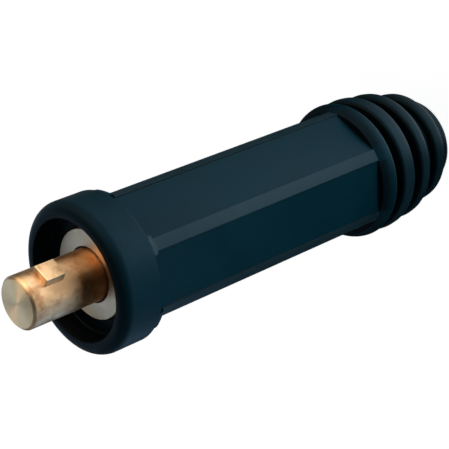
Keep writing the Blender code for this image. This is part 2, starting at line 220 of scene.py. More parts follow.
def turnedBrass():
    # Free-machining brass, turned and left bare: warm yellow, with fine rings from the tool on every turned
    # face, thin brown tarnish where nothing rubs, and bright edges where it goes in and out of sockets.
    # The orange on the pin's root is a painted reflection, the shoulder's grey is partly one, its bright edge carries
    # a painted glint, and the relief groove holds painted shade.
    look = {
        "metal": "#dfbe94",
        "tarnish": "#8c5630",
        "root": "#d07c30",      # painted reflection: the shoulder's orange, mirrored on the pin's root
        "rubbedAndHighlight": "#f6dcb0",
        "faced": "#f6d8aa",     # end faces, a little paler
        "seat": "#cbb99e",      # the shoulder, dulled where sockets press on it, and greyed as a painted reflection
        "paintedGrooveShade": "#2c1c0e",     # painted shade in the groove round the pin's root
        "feed": 0.35,           # mm between tool marks, drawn coarser than the real 0.1 so that they show
        "feedDepth": 0.004,     # mm
        "patches": 3.6,         # mm
        "smears": 1.6,          # mm, where fingers and sockets have dulled it
        "covered": (116.8, 117.4),    # mm up: below this the sleeve has kept it cleaner
        "rootReflection": (126.5, 118.5),   # mm up: where the painted reflection on the root starts and where it is full
        "roughness": (0.36, 0.44),
        "grain": 0.85,          # how far the turned rings spread a highlight across themselves
    }
    material, tree = newMaterial("turnedBrass")
    place = addNode(tree, "ShaderNodeTexCoord").outputs["Object"]
    feedScale = math.pi / 10 / (look["feed"] * mm)    # a wave texture repeats every pi / 10 of its own units
    faceMarks = addNode(tree, "ShaderNodeTexWave", {"Vector": place, "Scale": feedScale, "Distortion": 0.0},
                        wave_type="RINGS", rings_direction="Z")
    sideMarks = addNode(tree, "ShaderNodeTexWave", {"Vector": place, "Scale": feedScale, "Distortion": 0.0},
                        wave_type="BANDS", bands_direction="Z")
    marks = addNode(tree, "ShaderNodeMath", {0: faceMarks.outputs["Fac"], 1: sideMarks.outputs["Fac"]},
                    operation="ADD")
    patches = addNode(tree, "ShaderNodeTexNoise",
                      {"Vector": place, "Scale": per(look["patches"]), "Detail": 5.0, "Roughness": 0.6})
    smears = addNode(tree, "ShaderNodeTexNoise", {"Vector": place, "Scale": per(look["smears"]), "Detail": 3.0})
    height = addNode(tree, "ShaderNodeSeparateXYZ", {"Vector": place}).outputs["Z"]
    covered, bare = look["covered"]
    exposed = addNode(tree, "ShaderNodeMapRange",
                      {"Value": height, "From Min": covered * mm, "From Max": bare * mm, "To Min": 0.2})
    blotches = addNode(tree, "ShaderNodeMapRange",
                       {"Value": patches.outputs["Fac"], "From Min": 0.47, "From Max": 0.72, "To Max": 0.75})
    tarnished = addNode(tree, "ShaderNodeMath", {0: blotches.outputs["Result"], 1: exposed.outputs["Result"]},
                        operation="MULTIPLY")
    tone = addNode(tree, "ShaderNodeMix",
                   {"Factor": tarnished.outputs["Value"], 6: hexColour(look["metal"]), 7: hexColour(look["tarnish"])},
                   data_type="RGBA")
    # painted reflection: the shoulder's orange on the pin's root
    start, full = look["rootReflection"]
    nearRoot = addNode(tree, "ShaderNodeMapRange",
                       {"Value": height, "From Min": start * mm, "From Max": full * mm, "To Max": 1.3})
    rootReflection = addNode(tree, "ShaderNodeMath", {0: nearRoot.outputs["Result"], 1: patches.outputs["Fac"]},
                       operation="MULTIPLY")
    rootReflectionShare = addNode(tree, "ShaderNodeMath", {0: rootReflection.outputs["Value"], 1: exposed.outputs["Result"]},
                   operation="MULTIPLY")
    withRootReflection = addNode(tree, "ShaderNodeMix",
                     {"Factor": rootReflectionShare.outputs["Value"], 6: tone.outputs[2], 7: hexColour(look["root"])},
                     data_type="RGBA")
    wearAndHighlight = addNode(tree, "ShaderNodeAttribute", attribute_name="wearAndHighlight")
    faced = addNode(tree, "ShaderNodeAttribute", attribute_name="faced")
    withEnds = addNode(tree, "ShaderNodeMix",
                       {"Factor": faced.outputs["Fac"], 6: withRootReflection.outputs[2], 7: hexColour(look["faced"])},
                       data_type="RGBA")
    # the shoulder dulled, and greyed as a painted reflection
    seat = addNode(tree, "ShaderNodeAttribute", attribute_name="seat")
    withSeat = addNode(tree, "ShaderNodeMix",
                       {"Factor": seat.outputs["Fac"], 6: withEnds.outputs[2], 7: hexColour(look["seat"])},
                       data_type="RGBA")
    rubbedAndHighlight = addNode(tree, "ShaderNodeMix",
                     {"Factor": wearAndHighlight.outputs["Fac"], 6: withSeat.outputs[2], 7: hexColour(look["rubbedAndHighlight"])},
                     data_type="RGBA")
    # painted shade in the relief groove
    paintedGrooveShade = addNode(tree, "ShaderNodeAttribute", attribute_name="paintedGrooveShade")
    colour = addNode(tree, "ShaderNodeMix",
                     {"Factor": paintedGrooveShade.outputs["Fac"], 6: rubbedAndHighlight.outputs[2], 7: hexColour(look["paintedGrooveShade"])},
                     data_type="RGBA")
    low, high = look["roughness"]
    sheen = addNode(tree, "ShaderNodeMapRange",
                    {"Value": smears.outputs["Fac"], "From Min": 0.3, "From Max": 0.7, "To Min": low, "To Max": high})
    bump = addNode(tree, "ShaderNodeBump",
                   {"Height": marks.outputs["Value"], "Strength": 0.3, "Distance": look["feedDepth"] * mm})
    turning = addNode(tree, "ShaderNodeTangent", direction_type="RADIAL", axis="Z")
    surface = addNode(tree, "ShaderNodeBsdfPrincipled", {
        "Base Color": colour.outputs[2],
        "Metallic": 1.0,
        "Roughness": sheen.outputs["Result"],
        "Anisotropic": look["grain"],
        "Anisotropic Rotation": 0.25,
        "Normal": bump.outputs["Normal"],
        "Tangent": turning.outputs["Tangent"],
    })
    addNode(tree, "ShaderNodeOutputMaterial", {"Surface": surface.outputs["BSDF"]})
    return material


def rolledBrassSheet():
    # Half-hard brass sheet, rolled and bent: an even yellow with faint lines along the rolling direction.
    look = {
        "metal": "#dcae62",
        "dull": "#b98743",
        "lines": 0.15,          # mm
        "lineDepth": 0.01,      # mm
        "roughness": (0.30, 0.42),
    }
    material, tree = newMaterial("rolledBrassSheet")
    place = addNode(tree, "ShaderNodeTexCoord").outputs["Object"]
    along = addNode(tree, "ShaderNodeMapping", {"Vector": place, "Scale": (1.0, 1.0, 0.03)})
    lines = addNode(tree, "ShaderNodeTexNoise",
                    {"Vector": along.outputs["Vector"], "Scale": per(look["lines"]), "Detail": 3.0})
    tone = addNode(tree, "ShaderNodeMix",
                   {"Factor": lines.outputs["Fac"], 6: hexColour(look["metal"]), 7: hexColour(look["dull"])},
                   data_type="RGBA")
    low, high = look["roughness"]
    sheen = addNode(tree, "ShaderNodeMapRange", {"Value": lines.outputs["Fac"], "To Min": low, "To Max": high})
    bump = addNode(tree, "ShaderNodeBump",
                   {"Height": lines.outputs["Fac"], "Strength": 0.2, "Distance": look["lineDepth"] * mm})
    surface = addNode(tree, "ShaderNodeBsdfPrincipled", {
        "Base Color": tone.outputs[2],
        "Metallic": 1.0,
        "Roughness": sheen.outputs["Result"],
        "Normal": bump.outputs["Normal"],
    })
    addNode(tree, "ShaderNodeOutputMaterial", {"Surface": surface.outputs["BSDF"]})
    return material


def zincPlatedSteel():
    # Steel set screws, rolled thread, bright zinc plating: cool grey with a cloudy, slightly milky gleam, and painted
    # shade down the socket.
    look = {
        "metal": "#c3c5c9",
        "cloud": "#a2a6ac",
        "socket": "#4c4a47",    # painted shade down the socket, with thin plating, oil and dust where the key goes in
        "clouds": 1.6,          # mm
        "cloudDepth": 0.02,     # mm
        "roughness": (0.24, 0.42),
    }
    material, tree = newMaterial("zincPlatedSteel")
    place = addNode(tree, "ShaderNodeTexCoord").outputs["Object"]
    clouds = addNode(tree, "ShaderNodeTexNoise",
                     {"Vector": place, "Scale": per(look["clouds"]), "Detail": 4.0, "Roughness": 0.6})
    tone = addNode(tree, "ShaderNodeMix",
                   {"Factor": clouds.outputs["Fac"], 6: hexColour(look["metal"]), 7: hexColour(look["cloud"])},
                   data_type="RGBA")
    # painted shade down the socket, with thin plating, oil and dust
    socket = addNode(tree, "ShaderNodeAttribute", attribute_name="socket")
    colour = addNode(tree, "ShaderNodeMix",
                     {"Factor": socket.outputs["Fac"], 6: tone.outputs[2], 7: hexColour(look["socket"])},
                     data_type="RGBA")
    low, high = look["roughness"]
    sheen = addNode(tree, "ShaderNodeMapRange", {"Value": clouds.outputs["Fac"], "To Min": low, "To Max": high})
    bump = addNode(tree, "ShaderNodeBump",
                   {"Height": clouds.outputs["Fac"], "Strength": 0.15, "Distance": look["cloudDepth"] * mm})
    surface = addNode(tree, "ShaderNodeBsdfPrincipled", {
        "Base Color": colour.outputs[2],
        "Metallic": 1.0,
        "Roughness": sheen.outputs["Result"],
        "Normal": bump.outputs["Normal"],
    })
    addNode(tree, "ShaderNodeOutputMaterial", {"Surface": surface.outputs["BSDF"]})
    return material


def paleFloor():
    # White studio card: matt, and plain white to the camera and to mirrors wherever nothing shades it.
    look = {
        "card": "#f4f4f4",
        "glow": (0.945, 1.0),    # near the plug, and beyond the lamps, whose light no longer falls there
        "reach": (0.45, 0.9),    # m, where the one gives way to the other
    }
    material, tree = newMaterial("paleStudioCard")
    light = addNode(tree, "ShaderNodeLightPath").outputs
    direct = addNode(tree, "ShaderNodeMath", {0: light["Is Camera Ray"], 1: light["Is Glossy Ray"]},
                     operation="MAXIMUM")
    seen = addNode(tree, "ShaderNodeMath", {0: direct.outputs["Value"], 1: light["Is Transmission Ray"]},
                   operation="MAXIMUM")
    place = addNode(tree, "ShaderNodeTexCoord").outputs["Object"]
    away = addNode(tree, "ShaderNodeVectorMath", {0: place}, operation="LENGTH")
    brightness = addNode(tree, "ShaderNodeMapRange", {
        "Value": away.outputs["Value"], "From Min": look["reach"][0], "From Max": look["reach"][1],
        "To Min": look["glow"][0], "To Max": look["glow"][1]})
    glow = addNode(tree, "ShaderNodeMath", {0: seen.outputs["Value"], 1: brightness.outputs["Result"]},
                   operation="MULTIPLY")
    card = addNode(tree, "ShaderNodeBsdfDiffuse", {"Color": hexColour(look["card"])})
    lit = addNode(tree, "ShaderNodeEmission", {"Color": hexColour("#ffffff"), "Strength": glow.outputs["Value"]})
    both = addNode(tree, "ShaderNodeAddShader", {0: card.outputs["BSDF"], 1: lit.outputs["Emission"]})
    addNode(tree, "ShaderNodeOutputMaterial", {"Surface": both.outputs["Shader"]})
    return material


sleeveSizes = {
    "rim": 122.1,                # heights over the cable end
    "cupFloor": 116.8,
    "shoulderSeat": 113.0,
    "collarRear": 109.0,
    "barrelSeat": 68.0,
    "bodyRear": 33.4,
    "tailTop": 5.6,
    "collarRadius": 18.8,
    "cupRadius": 15.0,
    "mouthRound": 0.4,
    "lipRound": 2.7,
    "collarRearRound": 2.4,
    "collarFillet": 0.8,         # where the collar runs out into the ribs
    "cupFillet": 0.6,
    "bodyRadius": 17.07,
    "panelHeight": 15.2,         # from the axis to a panel
    "panelHalfWidth": 7.009,
    "panelFront": 111.4,
    "panelRear": 33.5,
    "panelEdgeRound": 0.2,
    "panelFootRound": 0.12,
    "flareSwell": 1.33,
    "flareRun": 3.4,
    "flareRound": 1.0,
    "ringRound": 1.2,
    "ringCrown": 0.12,
    "rings": [                   # groove length, groove floor radius, ring length, ring radius
        (2.6, 14.5, 4.8, 18.4),
        (3.4, 14.2, 3.8, 17.6),
        (4.8, 13.0, 4.0, 15.4),
    ],
    "grooveFillet": 0.5,
    "tailRadius": 12.3,
    "tailFillet": 0.9,
    "tailRound": 2.0,
    "passageRadius": 7.75,
    "passageRound": 1.0,
    "shoulderHole": 11.55,
    "barrelHole": 11.3,
    "barrelFlat": 10.55,
    "lipWear": 0.08,             # how far each edge is rubbed, from 0 to 1; on the ring crowns and ribs it is also a painted highlight
    "crownWearAndHighlight": 0.4,
    "ribWearAndHighlight": 0.7,
}
# where the mesh has lines of its own: signed distances from a panel's edge, negative on the rib's side,
# heights on the collar and on the body, and degrees round half a sixth
edgeLines = [-0.2, -0.15, -0.1, -0.06, -0.03, -0.012, 0.012, 0.03, 0.07, 0.12]
collarLines = [117.5, 115.5, 113.5, 112.2]
bodyLines = [107.5, 104.0, 98.0, 90.0, 82.0, 74.0, 66.0, 58.0, 50.0, 43.0, 38.0, 35.0, 34.0]
turnLines = [3, 6, 9, 12, 15, 18, 22.3, 23.3, 25.6, 26.8, 28.4, 30]


def outerRadius(height):
    # the turned outside from the collar to the first bend ring, before the panels are pressed in
    s = sleeveSizes
    roundTop = s["collarRear"] + s["collarRearRound"]
    centre = s["collarRadius"] - s["collarRearRound"]
    filletCentre = s["bodyRadius"] + s["collarFillet"]
    apart = s["collarRearRound"] + s["collarFillet"]
    filletHeight = roundTop - math.sqrt(apart ** 2 - (filletCentre - centre) ** 2)
    meeting = roundTop - (roundTop - filletHeight) * s["collarRearRound"] / apart
    if height >= roundTop:
        return s["collarRadius"]
    if height >= meeting:
        return centre + math.sqrt(s["collarRearRound"] ** 2 - (roundTop - height) ** 2)
    if height > filletHeight:
        return filletCentre - math.sqrt(s["collarFillet"] ** 2 - (height - filletHeight) ** 2)
    if height >= s["bodyRear"]:
        return s["bodyRadius"]
    share = min(1.0, (s["bodyRear"] - height) / s["flareRun"])
    return s["bodyRadius"] + s["flareSwell"] * math.sin(share * math.pi / 2)


def sleeveProfile():
    s = sleeveSizes
    points = arc((s["cupRadius"] + s["mouthRound"], s["rim"] - s["mouthRound"]), s["mouthRound"], 180, 90, 8)
    points += arc((s["collarRadius"] - s["lipRound"], s["rim"] - s["lipRound"]), s["lipRound"], 90, 0, 14)
    heights = collarLines + [s["panelFront"] - line for line in edgeLines]
    heights += [111.15 - 0.17 * step for step in range(16)] + [108.5]    # the collar's rear edge and fillet
    heights += bodyLines + [s["panelRear"] + line for line in reversed(edgeLines)]
    heights += [s["bodyRear"] - 0.2 - 0.32 * step for step in range(1, 10)]
    points += [(outerRadius(height), height) for height in heights]
    flare = s["bodyRadius"] + s["flareSwell"]
    foot = s["bodyRear"] - s["flareRun"]
    points += arc((flare - s["flareRound"], foot), s["flareRound"], 0, -90, 8)
    height = foot - s["flareRound"]
    for groove, floor, length, radius in s["rings"]:
        fillet, edge, crown = s["grooveFillet"], s["ringRound"], s["ringCrown"]
        points += arc((floor + fillet, height - fillet), fillet, 90, 180, 4)
        points += arc((floor + fillet, height - groove + fillet), fillet, 180, 270, 4)
        height -= groove
        points += arc((radius - crown - edge, height - edge), edge, 90, 8, 8)
        points += [(radius, height - length / 2)]
        points += arc((radius - crown - edge, height - length + edge), edge, -8, -90, 8)
        height -= length
    points += arc((s["tailRadius"] + s["tailFillet"], height - s["tailFillet"]), s["tailFillet"], 90, 180, 6)
    points += arc((s["tailRadius"] - s["tailRound"], s["tailRound"]), s["tailRound"], 0, -90, 10)
    points += arc((s["passageRadius"] + s["passageRound"], s["passageRound"]), s["passageRound"], 270, 180, 6)
    points += [(s["passageRadius"], height) for height in (20.0, 45.0, s["barrelSeat"] - 0.001)]
    points += [(s["barrelHole"], s["barrelSeat"]), (s["barrelHole"], s["shoulderSeat"] - 0.001)]
    points += [(s["shoulderHole"], s["shoulderSeat"]), (s["shoulderHole"], s["cupFloor"])]
    points += arc((s["cupRadius"] - s["cupFillet"], s["cupFloor"] + s["cupFillet"]), s["cupFillet"], -90, 0, 5)
    return points


def pressPanel(vert):
    # moves a vertex of the turned outside to where the flat panel, its edge or the rib beside it lies
    s = sleeveSizes
    radius = math.hypot(vert.co.x, vert.co.y) / mm
    height = vert.co.z / mm
    turn = math.atan2(vert.co.y, vert.co.x)
    half, body = s["panelHalfWidth"], s["bodyRadius"]
    fromEnd = min(s["panelFront"] - height, height - s["panelRear"])
    if radius < body - 2.0 or fromEnd < edgeLines[0] - 0.005:
        return
    edge = half - edgeLines[0]
    lastTurn = math.asin(edge / body)
    if turn <= lastTurn + 1e-6:
        across = body * math.sin(turn)
    else:
        share = (math.pi / 6 - turn) / (math.pi / 6 - lastTurn)
        across = radius * math.sin(math.pi / 6 - share * (math.pi / 6 - math.asin(edge / radius)))
    crest = math.sqrt(radius ** 2 - across ** 2)
    inside = min(half - across, fromEnd)
    top, foot = s["panelEdgeRound"], s["panelFootRound"]
    if inside <= -top:
        out = crest
    elif inside < 0:
        out = crest - top + math.sqrt(max(0.0, top ** 2 - (inside + top) ** 2))
    elif inside < foot:
        out = s["panelHeight"] + foot - math.sqrt(max(0.0, foot ** 2 - (foot - inside) ** 2))
    else:
        out = s["panelHeight"]
    vert.co.x, vert.co.y = out * mm, across * mm


def seatBarrel(vert):
    # the six-sided hole that keeps the plug body from turning
    s = sleeveSizes
    radius = math.hypot(vert.co.x, vert.co.y) / mm
    if abs(radius - s["barrelHole"]) < 0.01:
        turn = math.atan2(vert.co.y, vert.co.x)
        radius = min(s["barrelHole"], s["barrelFlat"] / math.cos(turn))
        vert.co.x, vert.co.y = radius * math.cos(turn) * mm, radius * math.sin(turn) * mm


def makeSleeve(rubber):
    s = sleeveSizes
    # half a sixth of the sleeve: its profile is turned a little at a time, closest at the panel's edge
    flatCorner = math.acos(s["barrelFlat"] / s["barrelHole"])
    turns = [math.radians(degrees) for degrees in turnLines]
    turns += [flatCorner] + [math.asin((s["panelHalfWidth"] - line) / s["bodyRadius"]) for line in edgeLines]
    shape = bmesh.new()
    last = profileEdges(shape, sleeveProfile(), closed=True)
    reached = 0.0
    for turn in sorted(turns):
        turned = bmesh.ops.spin(shape, geom=last, cent=(0, 0, 0), axis=(0, 0, 1), angle=turn - reached, steps=1)
        last = turned["geom_last"]
        reached = turn
    for vert in shape.verts:
        pressPanel(vert)
        seatBarrel(vert)
    # mirrored to a whole sixth, then repeated round the axis
    bmesh.ops.mirror(shape, geom=shape.verts[:] + shape.edges[:] + shape.faces[:], axis="Y", merge_dist=0.002 * mm)
    bmesh.ops.spin(shape, geom=shape.verts[:] + shape.edges[:] + shape.faces[:], cent=(0, 0, 0), axis=(0, 0, 1),
                   angle=math.tau * 5 / 6, steps=5, use_duplicate=True)
    bmesh.ops.remove_doubles(shape, verts=shape.verts, dist=0.003 * mm)
    sleeve = pieceFrom("ribbedSleeve", shape, rubber, sharpAbove=24)

    def fromPanel(face):
        # degrees from the middle of the nearest panel: the ribs lie from about 24 to 30
        return abs((math.degrees(math.atan2(face.center.y, face.center.x)) + 30) % 60 - 30)

    # rubbed edges, and a painted highlight on the ribs and ring crowns
    def rubbedAndHighlight(face):
        radius, height = spotOf(face)
        if height > 119.0 and radius > 17.6:
            return s["lipWear"]
        if 4.0 < height < 30.0 and abs(face.normal.z) < 0.75 and radius > 15.0:
            return s["crownWearAndHighlight"]                     # of the bend rings
        if s["panelRear"] < height < s["panelFront"] and fromPanel(face) > 24.2:
            return s["ribWearAndHighlight"]
        return 0.0

    def paintedShadeShare(face):
        # how much painted shade a place gets, from 0 to 1; outward is 1 where it looks straight away from the axis
        radius, height = spotOf(face)
        outward = (face.normal.x * face.center.x + face.normal.y * face.center.y) / (radius * mm)
        if height > s["cupFloor"] - 0.1 and radius < s["cupRadius"] + 0.3:
            return 1.0                                # the inside of the cup
        if s["panelRear"] < height < s["panelFront"] and radius > 15.0:
            return 1.0 if outward < 0.8 else 0.0      # the steps round the panels
        if s["bodyRear"] - s["flareRun"] < height < s["panelRear"] and fromPanel(face) < 23:
            return min(1.0, max(0.0, (0.995 - outward) / 0.12))    # the foot of the flare, between the ribs
        if 4.0 < height < s["panelRear"] and radius > 12.5:
            grooveFloor = 1.0 if radius < 14.9 and outward > 0.9 else 0.0
            return min(1.0, grooveFloor + max(0.0, (0.97 - outward) / 0.3))    # floors and flanks of the grooves
        return 0.0

    markFaces(sleeve, "wearAndHighlight", rubbedAndHighlight)
    markFaces(sleeve, "groove", paintedShadeShare)
    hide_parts("sleeve")
    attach(sleeve, "sleeve")
    print("sleeve:", len(sleeve.data.polygons), "faces")


plugSizes = {
    "tip": 138.0,
    "shoulder": 117.3,
    "shoulderRear": 113.3,
    "barrelEnd": 68.3,
    "pinRadius": 6.5,
    "tipChamfer": 0.6,
    "reliefWidth": 0.5,          # the groove round the root of the pin
    "reliefDepth": 0.3,
    "shoulderRadius": 11.25,
    "shoulderChamfer": 0.2,
    "barrelRadius": 11.0,
    "barrelFlat": 10.25,
    "barrelChamfer": 0.6,
    "boreRadius": 6.4,
    "boreTop": 106.3,
    "boreChamfer": 0.8,
    "lugTop": 8.2,               # from the axis
    "lugWidth": 4.9,
    "lugFront": 133.5,
    "lugRear": 128.3,
    "lugEdge": 0.16,
    "screwHeights": (78.3, 93.3),
    "holeRadius": 4.0,
    "holeChamfer": 0.4,
    "drillAngle": 118,           # degrees, of the drills that made the bore and the screws' sockets
    "lugWear": 1.0,              # how far each edge is rubbed bright, from 0 to 1
    "chamferWear": 0.15,
    # the shoulder's edge: rubbed, with a painted glint
    "shoulderWearAndGlint": 0.8,
}


def makePlugBody(brass):
    p = plugSizes
    point = p["boreRadius"] / math.tan(math.radians(p["drillAngle"] / 2))
    profile = [
        (0.0, p["tip"]), (p["pinRadius"] - p["tipChamfer"] - 0.08, p["tip"]),    # the tip's chamfer is eased
        (p["pinRadius"] - p["tipChamfer"] + 0.06, p["tip"] - 0.06),
        (p["pinRadius"] - 0.06, p["tip"] - p["tipChamfer"] + 0.06),
        (p["pinRadius"], p["tip"] - p["tipChamfer"] - 0.1),
        *[(p["pinRadius"], height) for height in (134.5, 131.0, 127.0, 122.0)],
        (p["pinRadius"], p["shoulder"] - p["reliefDepth"]),
        (p["pinRadius"] + p["reliefWidth"], p["shoulder"] - p["reliefDepth"]),
        (p["pinRadius"] + p["reliefWidth"], p["shoulder"]),
        (p["shoulderRadius"] - p["shoulderChamfer"], p["shoulder"]),
        (p["shoulderRadius"], p["shoulder"] - p["shoulderChamfer"]),
        (p["shoulderRadius"], p["shoulderRear"]), (p["barrelRadius"], p["shoulderRear"]),
        (p["barrelRadius"], p["barrelEnd"] + p["barrelChamfer"]),
        (p["barrelRadius"] - p["barrelChamfer"], p["barrelEnd"]),
        (p["boreRadius"] + p["boreChamfer"], p["barrelEnd"]),
        (p["boreRadius"], p["barrelEnd"] + p["boreChamfer"]),
        (p["boreRadius"], p["boreTop"]), (0.0, p["boreTop"] + point),
    ]
    plug = pieceFrom("turnedPlugBody", spun(profile, 144), brass)

    # six milled flats, one square to the lug
    flats = bmesh.new()
    low, high = p["barrelEnd"] - 1.0, p["shoulderRear"]
    for side in range(6):
        place = Matrix.Rotation(side * math.pi / 3, 4, "Z") @ Matrix.Translation(
            ((p["barrelFlat"] + 1.0) * mm, 0.0, (low + high) / 2 * mm)) @ Matrix.Diagonal(
            (2.0 * mm, 10.0 * mm, (high - low) * mm, 1.0))
        bmesh.ops.create_cube(flats, size=1.0, matrix=place)
    cutOrJoin(plug, pieceFrom("flats", flats, brass), "DIFFERENCE")

    # the two threaded cross holes, each with a countersunk mouth
    chamfer = p["holeChamfer"]
    mouth = p["barrelFlat"] - chamfer
    cuts = {    # radius inside and outside, length, and how far out the middle is
        "holes": (p["holeRadius"], p["holeRadius"], mouth - 2.0, (mouth + 4.0) / 2),
        "sinks": (p["holeRadius"] - 0.1, p["holeRadius"] + 2 * chamfer, 2 * chamfer + 0.1, mouth + chamfer - 0.05),
    }
    for name, (inside, outside, depth, middle) in cuts.items():
        cut = bmesh.new()
        for height in p["screwHeights"]:
            axis = Matrix.Translation((0.0, 0.0, height * mm)) @ Matrix.Rotation(math.pi / 2, 4, "Y")
            bmesh.ops.create_cone(cut, cap_ends=True, segments=64, radius1=inside * mm, radius2=outside * mm,
                                  depth=depth * mm, matrix=axis @ Matrix.Translation((0.0, 0.0, middle * mm)))
        cutOrJoin(plug, pieceFrom(name, cut, brass), "DIFFERENCE")

    # the locking lug, a block with eased edges that starts inside the pin
    lug = bmesh.new()
    foot = 3.0
    sides = (p["lugTop"] - foot, p["lugWidth"], p["lugFront"] - p["lugRear"])
    place = Matrix.Translation(((p["lugTop"] + foot) / 2 * mm, 0.0, (p["lugFront"] + p["lugRear"]) / 2 * mm))
    bmesh.ops.create_cube(lug, size=1.0, matrix=place @ Matrix.Diagonal((*[side * mm for side in sides], 1.0)))
    bmesh.ops.bevel(lug, geom=lug.edges[:], offset=p["lugEdge"] * mm, offset_type="OFFSET", affect="EDGES",
                    segments=3, profile=0.5, material=-1)
    cutOrJoin(plug, pieceFrom("lug", lug, brass), "UNION")

    # the milled flats meet the round at a shallow angle, and keep their edges crisp
    shadeMesh(plug.data, 32)
    shape = bmesh.new()
    shape.from_mesh(plug.data)
    for edge in shape.edges:
        onBarrel = max(vert.co.z for vert in edge.verts) < (p["shoulderRear"] + 0.1) * mm
        if onBarrel and edge.calc_face_angle(0.0) > math.radians(10):
            edge.smooth = False
    shape.to_mesh(plug.data)
    shape.free()

    # rubbed edges, with a painted glint on the shoulder's edge
    def rubbedAndHighlight(face):
        radius, height = spotOf(face)
        squareness = max(abs(part) for part in face.normal)
        if radius > 6.6 and p["lugRear"] - 0.1 < height < p["lugFront"] + 0.1 and squareness < 0.995:
            return p["lugWear"]
        if height > p["tip"] - p["tipChamfer"] - 0.05 and 0.1 < face.normal.z < 0.95:
            return p["chamferWear"]
        if height > p["shoulder"] - 0.25 and radius > 11.0:
            return p["shoulderWearAndGlint"]
        return 0.0

    # the shoulder's face: dulled, and greyed as a painted reflection
    def seated(face):
        return 1.0 if face.normal.z > 0.97 and abs(face.center.z / mm - p["shoulder"]) < 0.5 else 0.0

    def faced(face):
        onLug = p["lugRear"] - 0.5 < face.center.z / mm < p["lugFront"] + 0.5
        return 1.0 if abs(face.normal.z) > 0.97 and not onLug else 0.0

    # painted shade in the relief groove round the pin's root
    def inGroove(face):
        radius, height = spotOf(face)
        deep = p["shoulder"] - p["reliefDepth"] - 0.01 < height < p["shoulder"] - 0.01
        return 1.0 if deep and radius < p["pinRadius"] + p["reliefWidth"] + 0.01 else 0.0

    markFaces(plug, "wearAndHighlight", rubbedAndHighlight)
    markFaces(plug, "seat", seated)
    markFaces(plug, "faced", faced)
    markFaces(plug, "paintedGrooveShade", inGroove)
    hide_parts("plug_body")
    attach(plug, "plug")
    print("plug body:", len(plug.data.polygons), "faces")


shimSizes = {
    "outer": 6.1,                # radius of its bend
    "thickness": 1.0,
    "halfAngle": 50,             # degrees
    "top": 4.75,                 # from the axis
    "rear": 70.8,
    "front": 100.8,
    "edgeRound": 0.12,
    "bendSteps": 28,
}


def makeShim(sheet):
    # a strip bent to the curve of the bore, spun from its own cross-section
    s = shimSizes
    centre = s["top"] - s["outer"]
    shape = bmesh.new()
    corners = [(s["outer"] - s["thickness"], s["rear"]), (s["outer"], s["rear"]),
               (s["outer"], s["front"]), (s["outer"] - s["thickness"], s["front"])]
    section = shape.faces.new([shape.verts.new(((centre + radius) * mm, 0.0, height * mm))
                               for radius, height in corners])
    bmesh.ops.rotate(shape, verts=shape.verts, cent=(centre * mm, 0, 0),
                     matrix=Matrix.Rotation(math.radians(-s["halfAngle"]), 3, "Z"))
    bmesh.ops.spin(shape, geom=[section], cent=(centre * mm, 0, 0), axis=(0, 0, 1),
                   angle=math.radians(2 * s["halfAngle"]), steps=s["bendSteps"])
    bmesh.ops.recalc_face_normals(shape, faces=shape.faces)
    sharp = [edge for edge in shape.edges if edge.is_manifold and edge.calc_face_angle() > 1.0]
    bmesh.ops.bevel(shape, geom=sharp, offset=s["edgeRound"] * mm, offset_type="OFFSET", affect="EDGES",
                    segments=2, profile=0.5, material=-1)
    shim = pieceFrom("pressureShim", shape, sheet)
    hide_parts("pressure_shim")
    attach(shim, "shim")
    print("shim:", len(shim.data.polygons), "faces")


screwSizes = {
    "radius": 3.7,
    "top": 10.05,                # from the axis
    "length": 5.0,
    "chamfer": 0.6,
    "pitch": 1.25,
    "threadDepth": 0.62,
    "threadTurns": 6,            # more than it needs, and trimmed
    "stepsPerTurn": 40,
    "acrossFlats": 4.0,
    "socketDepth": 2.4,
}


